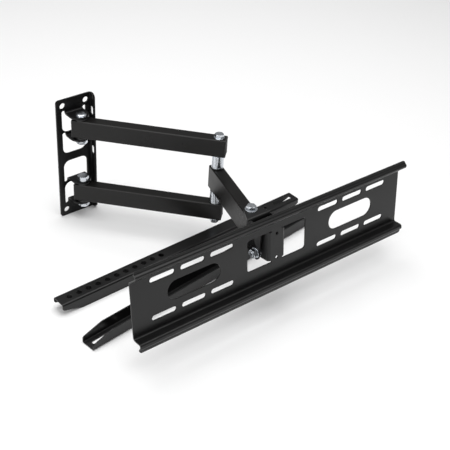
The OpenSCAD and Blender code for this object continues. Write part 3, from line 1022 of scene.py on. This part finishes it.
@dataclass(frozen=True)
class Arms:
    """The two arm tubes with their bushes and plugs, and the elbow's bolt, washers, nut and sleeves."""

    skeleton: Skeleton
    pitch: float = 118.0
    tube_height: float = 30.0
    back: float = 12.0
    front: float = 10.5
    bush: float = 14.0
    bush_flange: tuple[float, float] = (20.0, 2.7)
    bush_depth: float = 5.0
    washer: tuple[float, float] = (17.0, 1.6)
    sleeve_washer: tuple[float, float] = (19.0, 1.6)
    sleeve: float = 19.0
    sleeve_washer_low: float = 21.8
    head: float = 5.3
    nut: float = 6.5
    stub: float = 1.0

    def length(self) -> float:
        """Return the distance from the wall pivot to the elbow."""
        return (self.skeleton.elbow - self.skeleton.pivot).length

    def build(self) -> None:
        """Build both arms and the elbow."""
        place = self.skeleton.arms()
        tube = BoxTube(self.tube_height, self.back, self.length() + self.front)
        for side, word in ((1, "upper"), (-1, "lower")):
            level = place @ shift(z=side * self.pitch / 2)
            holes = [(0.0, self.bush), (self.length(), M8.diameter)]
            nodes = (f"{word}_arm_tube",)
            piece = Piece(f"{word}_arm_box_tube", nodes, Body.ARMS, Slot.TUBE, 0.2, tube.wall)
            piece.finish(tube.tube(holes), level)
            one = [
                (bush(self.bush - 0.04, M10.diameter + 0.1, self.bush_flange, self.bush_depth),
                 mirror @ shift(z=self.tube_height / 2))
                for mirror in (shift(), flip())
            ]
            nodes = (f"{word}_arm_bushes",)
            piece = Piece(f"{word}_arm_flanged_bushes", nodes, Body.ARMS, Slot.NYLON, 0.3)
            piece.finish(joined(one), level)
            nodes = (f"{word}_arm_end_caps",)
            piece = Piece(f"{word}_arm_end_plugs", nodes, Body.ARMS, Slot.PLUG, 0.35)
            piece.finish(tube.plugs(), level)
        self._elbow(self.skeleton.arms() @ shift(y=-self.length()))

    def _elbow(self, place: Matrix) -> None:
        """Build what holds the elbow together.

        Args:
            place: The elbow's frame.
        """
        top = self.pitch / 2 + self.tube_height / 2
        seat = top + self.washer[1]
        low = -seat - self.nut - self.stub
        bolt = joined([
            (M8.shank(low, seat + 0.1, 22.0), shift()),
            (hexagon(M8.flats, seat, seat + self.head, 0.0, False), shift()),
        ])
        Piece("long_elbow_bolt", ("elbow_bolt",), Body.ARMS, Slot.ZINC, 0.2).finish(bolt, place)
        foot = self.sleeve_washer_low + self.sleeve_washer[1]
        washers = []
        for mirror in (shift(), flip()):
            washers.append((ring(self.washer[0], top, seat, M8_CLEAR), mirror))
            washers.append((ring(self.sleeve_washer[0], self.sleeve_washer_low, foot, M8_CLEAR), mirror))
        piece = Piece("elbow_flat_washers", ("elbow_washers",), Body.ARMS, Slot.ZINC, 0.35)
        piece.finish(joined(washers), place)
        nut = hexagon(M8.flats, -seat - self.nut, -seat, M8.diameter, True)
        Piece("elbow_hex_nut", ("elbow_nut",), Body.ARMS, Slot.ZINC, 0.2).finish(nut, place)
        for mirror, word in ((shift(), "upper"), (flip(), "lower")):
            sleeve = ring(self.sleeve, foot, self.pitch / 2 - self.tube_height / 2, M8_CLEAR)
            piece = Piece(f"{word}_spacer_sleeve", (f"{word}_elbow_sleeve",), Body.ARMS, Slot.ZINC, 0.6)
            piece.finish(joined([(sleeve, mirror)]), place)


@dataclass(frozen=True)
class Forearm:
    """The forearm tube with its bushes and plugs."""

    skeleton: Skeleton
    height: float = 40.0
    end: float = 9.0
    bush: float = 11.0
    bush_flange: tuple[float, float] = (18.0, 1.5)
    bush_depth: float = 5.0
    plug_depth: float = 3.0

    def build(self) -> None:
        """Build the forearm."""
        length = (self.skeleton.swivel - self.skeleton.elbow).length
        place = self.skeleton.forearm()
        tube = BoxTube(self.height, self.end, length + self.end, plug_depth=self.plug_depth)
        piece = Piece("forearm_box_tube", ("forearm_tube",), Body.FOREARM, Slot.TUBE, 0.2, tube.wall)
        piece.finish(tube.tube([(0.0, self.bush), (length, self.bush)]), place)
        bushes = [
            (bush(self.bush - 0.04, M8.diameter + 0.1, self.bush_flange, self.bush_depth),
             shift(y=y) @ mirror @ shift(z=self.height / 2))
            for y in (0.0, -length) for mirror in (shift(), flip())
        ]
        piece = Piece("forearm_flanged_bushes", ("forearm_bushes",), Body.FOREARM, Slot.NYLON, 0.25)
        piece.finish(joined(bushes), place)
        piece = Piece("forearm_end_plugs", ("forearm_end_caps",), Body.FOREARM, Slot.PLUG, 0.35)
        piece.finish(tube.plugs(), place)


@dataclass(frozen=True)
class Head:
    """The head bracket: a folded strap with two cheeks, on its swivel bolt, with the tilt bolt through it.

    Attributes:
        shoulder: How far a leaf keeps its full width before and behind the bolt's hole.
        tongue, tongue_round: The diameter of a leaf's round end, and the share of it that its arc takes.
        lug_half, slip: The half width between the lugs' faces, and the gap beside them.
    """

    skeleton: Skeleton
    width: float = 42.0
    thickness: float = 3.0
    top: float = 24.8
    bend_radius: float = 4.0
    strap_face: float = 20.0
    shoulder: float = 16.0
    tongue: float = 22.0
    tongue_round: float = 0.998
    cheek_front: float = 48.0
    cheek_radius: float = 7.0
    cheek_low: float = -32.0
    washer: tuple[float, float] = (16.0, 1.6)
    swivel_washer: float = 19.0
    lug_half: float = 16.0
    slip: float = 0.3
    head: float = 5.3
    nut: float = 6.5
    stub: float = 1.0

    def strap(self) -> bmesh.types.BMesh:
        """Fold the strap that carries both swivel leaves.

        Returns:
            The open skin, laid out on its outer side.
        """
        half, r = self.width / 2, self.bend_radius
        start = self.top - r
        middle = start + r * pi / 2 + self.strap_face - r
        wide = middle - self.shoulder
        bearing = acos(self.tongue / 2 / hypot(half, self.shoulder)) - atan2(self.shoulder, half)
        narrow = self.tongue / 2 * (1 - sin(bearing)) / cos(bearing)
        tip = middle + self.tongue / 2
        round_end = self.tongue / 2 * self.tongue_round
        edge = fillet([
            (-narrow, -tip, round_end), (narrow, -tip, round_end), (half, -wide, 3), (half, wide, 3),
            (narrow, tip, round_end), (-narrow, tip, round_end), (-half, wide, 3), (-half, -wide, 3),
        ])
        holes = [circle_outline(0, z, M8.diameter + 0.2) for z in (middle, -middle)]
        bends = [Bend(start, way, -pi / 2, r) for way in (Way.UP, Way.DOWN)]
        bm = Sheet(edge, self.thickness, Skin.FRONT, holes, bends).build()
        bmesh.ops.translate(bm, vec=(0, -self.strap_face, 0), verts=bm.verts[:])
        return bm

    def cheek(self) -> bmesh.types.BMesh:
        """Cut one flat cheek, laid out with x away from the swivel.

        Returns:
            The open skin.
        """
        front, low, r = self.cheek_front, self.cheek_low, self.cheek_radius
        near = self.strap_face - 0.4
        edge = fillet([
            (near, self.top - self.bend_radius - 0.4, 0),
            (near + 1.2, self.top - 0.9, 1.0), (near + 3.2, self.top, 2.0),
            (front, self.top, r), (front, low, r), (near + 4, low, 5), (near, -self.top + 1.5, 2),
        ])
        tilt_out = (self.skeleton.tilt.xy - self.skeleton.swivel.xy).length
        tilt_z = self.skeleton.tilt.z - self.skeleton.swivel.z
        hole = circle_outline(tilt_out, tilt_z, M8.diameter + 0.2)
        return Sheet(edge, self.thickness, Skin.FRONT, [hole]).build()

    def build(self) -> None:
        """Build the bracket and its fasteners."""
        place = self.skeleton.head()
        inner = self.width / 2 - self.thickness
        bracket = joined([
            (self.strap(), shift()),
            (self.cheek(), shift(x=inner) @ turn(-90, "Z")),
            (self.cheek(), shift(x=-self.width / 2) @ turn(-90, "Z")),
        ])
        piece = Piece("folded_head_bracket", ("head_bracket",), Body.HEAD, Slot.PLATE, 0.3, self.thickness)
        piece.finish(bracket, place)
        seat = self.top + self.washer[1]
        self._bolt("swivel", place, seat, self.swivel_washer, [(self.top, seat)])
        tilt = place @ shift(*(place.inverted() @ self.skeleton.tilt)) @ turn(90, "Y")
        side = self.width / 2
        self._bolt("tilt", tilt, side + self.washer[1], self.washer[0], [
            (side, side + self.washer[1]), (self.lug_half + self.slip, inner),
        ])

    def _bolt(
        self, word: str, place: Matrix, seat: float, washer: float, washers: Sequence[tuple[float, float]]
    ) -> None:
        """Build one bolt with its nut and its washers.

        Args:
            word: The name of the bolt.
            place: The frame with the bolt along z.
            seat: The height of the head's and the nut's seats from the middle.
            washer: The washers' diameter.
            washers: The faces of the washers on each side.
        """
        bolt = joined([
            (M8.shank(-seat - self.nut - self.stub, seat + 0.1, 16.0), shift()),
            (hexagon(M8.flats, seat, seat + self.head, 0.0, False), shift()),
        ])
        Piece(f"hex_{word}_bolt", (f"{word}_bolt",), Body.HEAD, Slot.ZINC, 0.2).finish(bolt, place)
        rings = [
            (ring(washer, low, high, M8_CLEAR), mirror)
            for low, high in washers for mirror in (shift(), flip())
        ]
        piece = Piece(f"{word}_flat_washers", (f"{word}_washers",), Body.HEAD, Slot.ZINC, 0.35)
        piece.finish(joined(rings), place)
        nut = hexagon(M8.flats, -seat - self.nut, -seat, M8.diameter, True)
        Piece(f"{word}_hex_nut", (f"{word}_nut",), Body.HEAD, Slot.ZINC, 0.2).finish(nut, place)


@dataclass(frozen=True)
class TvPlate:
    """The TV plate: a long folded web with slots, ovals, stiffening lips and two lugs folded to the back."""

    skeleton: Skeleton
    length: float = 502.0
    thickness: float = 2.0
    web_face: float = 22.6
    slots_z: float = 14.6
    top_path: tuple[tuple[float, float], ...] = (
        (0, 0), (0, 38.5), (-16, 51.0), (-16, 55.0), (-12.6, 57.6), (-12, 61.5)
    )
    top_radii: tuple[float, ...] = (3.0, 4.5, 2.5, 2.5)
    low_path: tuple[tuple[float, float], ...] = (
        (0, 0), (0, -50.0), (-16, -50.5), (-16.3, -57.5), (-13, -60.5), (-12.5, -66)
    )
    low_radii: tuple[float, ...] = (3.0, 3.5, 2.5, 2.0)
    lip_corner: float = 4.0
    slot_size: tuple[float, float] = (40.0, 8.0)
    slot_rows: float = 30.0
    slot_pitch: float = 50.0
    oval: tuple[float, float] = (90.0, 31.0)
    oval_x: float = 148.0
    strap_hole: float = 5.0
    strap_hole_z: float = 20.0
    cut_half: float = 55.0
    cut_heights: tuple[float, float] = (-25.0, 27.0)
    cut_radius: float = 5.0
    lug_half: float = 16.0
    lug_radius: float = 5.0
    lug_heights: tuple[float, float] = (-22.5, 24.5)
    lug_depth: float = 35.0
    relief_in: float = 9.8
    relief_radius: float = 1.2
    lug_corners: tuple[Corner, ...] = ((28.0, -22.5, 2), (35.0, -18, 2), (35.0, 9, 4), (7.0, 24.5, 3))

    def lug_u(self, depth: float) -> float:
        """Return where a depth behind the web's face lies on a lug in the flat."""
        return self.lug_half - self.lug_radius + self.lug_radius * pi / 2 + depth - self.lug_radius

    def cutout(self, side: int) -> list[Vector]:
        """Outline a cutout round its lug.

        Args:
            side: 1 on the right and -1 on the left.

        Returns:
            The outline's points.
        """
        low, high = self.cut_heights
        lug_low, lug_high = self.lug_heights
        far, r = self.cut_half, self.cut_radius
        near, relief = self.relief_in, self.relief_radius
        corners = [
            (near, high, relief), (far, high, r), (far, low, r), (near, low, relief), (near, lug_low, relief),
            *((self.lug_u(depth), z, radius) for depth, z, radius in self.lug_corners),
            (near, lug_high, relief),
        ]
        return fillet([(side * x, z, radius) for x, z, radius in corners])

    def openings(self) -> list[list[Vector]]:
        """Outline every hole in the web.

        Returns:
            The outlines.
        """
        outlines = []
        for side in (-1, 1):
            for row in (-1, 1):
                for i in (2, 3, 4):
                    across = side * i * self.slot_pitch
                    outlines.append(slot_outline(across, row * self.slot_rows, *self.slot_size))
            outlines.append(slot_outline(side * self.oval_x, 0, *self.oval))
            outlines.append(self.cutout(side))
            hole = M8.diameter + 0.1
            outlines.append(circle_outline(side * self.lug_u(self.web_face), -self.slots_z, hole))
            outlines.append(circle_outline(0, side * self.strap_hole_z, self.strap_hole))
        return outlines

    def build(self) -> None:
        """Build the TV plate."""
        top, top_flat = bends_along(self.top_path, self.top_radii, Way.UP)
        low, low_flat = bends_along(self.low_path, self.low_radii, Way.DOWN)
        half, r = self.length / 2, self.lip_corner
        edge = fillet([
            (-half, -low_flat, r), (half, -low_flat, r), (half, top_flat, r), (-half, top_flat, r),
        ])
        lug_reach = self.lug_u(self.lug_depth) - (self.lug_half - self.lug_radius) + 0.5
        span = (self.lug_heights[0] - 0.01, self.lug_heights[1] + 0.01)
        start = self.lug_half - self.lug_radius
        lugs = [
            Bend(start, way, -pi / 2, self.lug_radius, span, lug_reach)
            for way in (Way.LEFT, Way.RIGHT)
        ]
        sheet = Sheet(edge, self.thickness, Skin.FRONT, self.openings(), lugs + top + low)
        place = self.skeleton.tilted() @ shift(y=-self.web_face, z=self.slots_z)
        piece = Piece("folded_tv_plate", ("tv_plate",), Body.TV, Slot.PLATE, 0.3, self.thickness)
        piece.finish(sheet.build(), place)


@dataclass(frozen=True)
class Rail:
    """One TV rail, a channel with a row of holes and tapered ends, lying loose on the floor."""

    body: Body
    end: tuple[float, float]
    yaw: float
    open_up: bool
    floor: float = -107.5
    length: float = 477.0
    width: float = 25.0
    height: float = 20.0
    thickness: float = 2.0
    bend_radius: float = 3.2
    hole: float = 9.0
    hole_first: float = 19.0
    hole_pitch: float = 16.9
    holes: int = 11
    small_hole: tuple[float, float] = (410.0, 6.0)
    slot: tuple[float, float, float] = (449.0, 40.0, 7.0)
    end_height: float = 10.0
    end_cut: float = 35.0

    def build(self) -> None:
        """Build the rail."""
        r, start = self.bend_radius, self.width / 2 - self.bend_radius
        full = start + r * pi / 2 + self.height - r
        short = full - (self.height - self.end_height)
        far = self.length
        edge = fillet([
            (0, -short, 4), (self.end_cut, -full, 8), (far - self.end_cut, -full, 8), (far, -short, 4),
            (far, short, 4), (far - self.end_cut, full, 8), (self.end_cut, full, 8), (0, short, 4),
        ])
        holes = [
            circle_outline(self.hole_first + i * self.hole_pitch, 0, self.hole)
            for i in range(self.holes)
        ]
        holes.append(circle_outline(self.small_hole[0], 0, self.small_hole[1]))
        holes.append(slot_outline(self.slot[0], 0, self.slot[1], self.slot[2]))
        bends = [Bend(start, way, -pi / 2, r) for way in (Way.UP, Way.DOWN)]
        bm = Sheet(edge, self.thickness, Skin.FRONT, holes, bends).build()
        rail = shift(z=self.height) @ turn(-90, "X")
        if self.open_up:
            rail = shift(x=self.length, z=self.height) @ turn(180, "Y") @ rail
        place = shift(*self.end, self.floor) @ turn(self.yaw, "Z") @ rail
        name = self.body.value
        Piece(f"punched_{name}", (name,), self.body, Slot.RAIL, 0.3, self.thickness).finish(bm, place)


# Studio


@dataclass(frozen=True)
class Studio:
    """A pale floor, soft light all round and the camera."""

    floor: float = -0.1075
    floor_size: float = 8.0
    world_strength: tuple[float, float] = (0.5, 5.5)
    horizon: tuple[float, float] = (0.1, 0.4)
    camera_place: tuple[float, float, float] = (-0.6852, -1.1451, 0.8022)
    azimuth: float = -41.7457
    elevation: float = 35.0613
    roll: float = 4.0452
    lens: float = 75.43

    def build(self) -> None:
        """Build the floor, the lights and the camera."""
        scene = bpy.context.scene
        scene.view_settings.view_transform = "Standard"
        self._floor()
        self._world()
        self._light("overhead", (0.1, -0.2, 1.9), (0.05, -0.15, 0.0), 2.4, 50.0)
        self._light("left_window", (-1.9, -0.9, 1.0), (0.0, -0.15, 0.0), 1.4, 16.0)
        self._camera()
        LOG.info("studio ready")

    def _floor(self) -> None:
        """Lay the floor."""
        bm = bmesh.new()
        bmesh.ops.create_grid(bm, x_segments=8, y_segments=8, size=self.floor_size / 2)
        bmesh.ops.translate(bm, vec=(0, 0, self.floor - 0.0002), verts=bm.verts[:])
        mesh = bpy.data.meshes.new("studio_floor")
        bm.to_mesh(mesh)
        bm.free()
        floor = bpy.data.objects.new("studio_floor", mesh)
        bpy.context.scene.collection.objects.link(floor)
        finish = Finish("pale_floor", (0.92, 0.92, 0.92), (0.6, 0.7), 60.0, 0.00002, 2.0, specular=0.2)
        mesh.materials.append(finish.material())

    def _world(self) -> None:
        """Light the scene softly from above, with a dimmer horizon."""
        world = bpy.data.worlds.new("soft_surroundings")
        bpy.context.scene.world = world
        world.use_nodes = True
        nodes, links = world.node_tree.nodes, world.node_tree.links
        split = nodes.new("ShaderNodeSeparateXYZ")
        links.new(nodes.new("ShaderNodeTexCoord").outputs["Generated"], split.inputs["Vector"])
        rise = nodes.new("ShaderNodeMapRange")
        rise.interpolation_type = "SMOOTHSTEP"
        rise.inputs["From Min"].default_value = self.horizon[0]
        rise.inputs["From Max"].default_value = self.horizon[1]
        rise.inputs["To Min"].default_value = self.world_strength[0]
        rise.inputs["To Max"].default_value = self.world_strength[1]
        links.new(split.outputs["Z"], rise.inputs["Value"])
        links.new(rise.outputs["Result"], nodes["Background"].inputs["Strength"])

    @staticmethod
    def _light(name: str, place: Sequence[float], aim: Sequence[float], size: float, power: float) -> None:
        """Hang one soft light.

        Args:
            name: Its name.
            place: Where it hangs.
            aim: What it points at.
            size: The length of its sides in metres.
            power: Its power in watts.
        """
        data = bpy.data.lights.new(name, "AREA")
        data.size = size
        data.energy = power
        light = bpy.data.objects.new(name, data)
        light.location = place
        light.rotation_euler = (Vector(aim) - Vector(place)).to_track_quat("-Z", "Y").to_euler()
        bpy.context.scene.collection.objects.link(light)

    def _camera(self) -> None:
        """Place the camera."""
        azimuth, elevation, roll = (radians(a) for a in (self.azimuth, self.elevation, self.roll))
        right = Vector((cos(azimuth), sin(azimuth), 0.0))
        back = Vector((sin(azimuth) * cos(elevation), -cos(azimuth) * cos(elevation), sin(elevation)))
        up = back.cross(right)
        side = right * cos(roll) + up * sin(roll)
        above = up * cos(roll) - right * sin(roll)
        data = bpy.data.cameras.new("camera")
        data.lens = self.lens
        data.sensor_width = 36.0
        data.clip_end = 50.0
        camera = bpy.data.objects.new("camera", data)
        place = Matrix((side, above, back)).transposed().to_4x4()
        place.translation = self.camera_place
        camera.matrix_world = place
        bpy.context.scene.collection.objects.link(camera)
        bpy.context.scene.camera = camera


def main() -> None:
    """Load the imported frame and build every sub-assembly round it."""
    logging.basicConfig(level=logging.INFO, format="%(name)s: %(message)s")
    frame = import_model()
    skeleton = Skeleton.from_joints(frame["joints"])
    Studio().build()
    WallPlate(skeleton).build()
    WallPivots(skeleton).build()
    Arms(skeleton).build()
    Forearm(skeleton).build()
    Head(skeleton).build()
    TvPlate(skeleton).build()
    Rail(Body.RAIL_1, (-163.0, -209.3), 1.4, False).build()
    Rail(Body.RAIL_2, (-169.0, -297.0), 6.2, True).build()


if __name__ == "__main__":
    main()
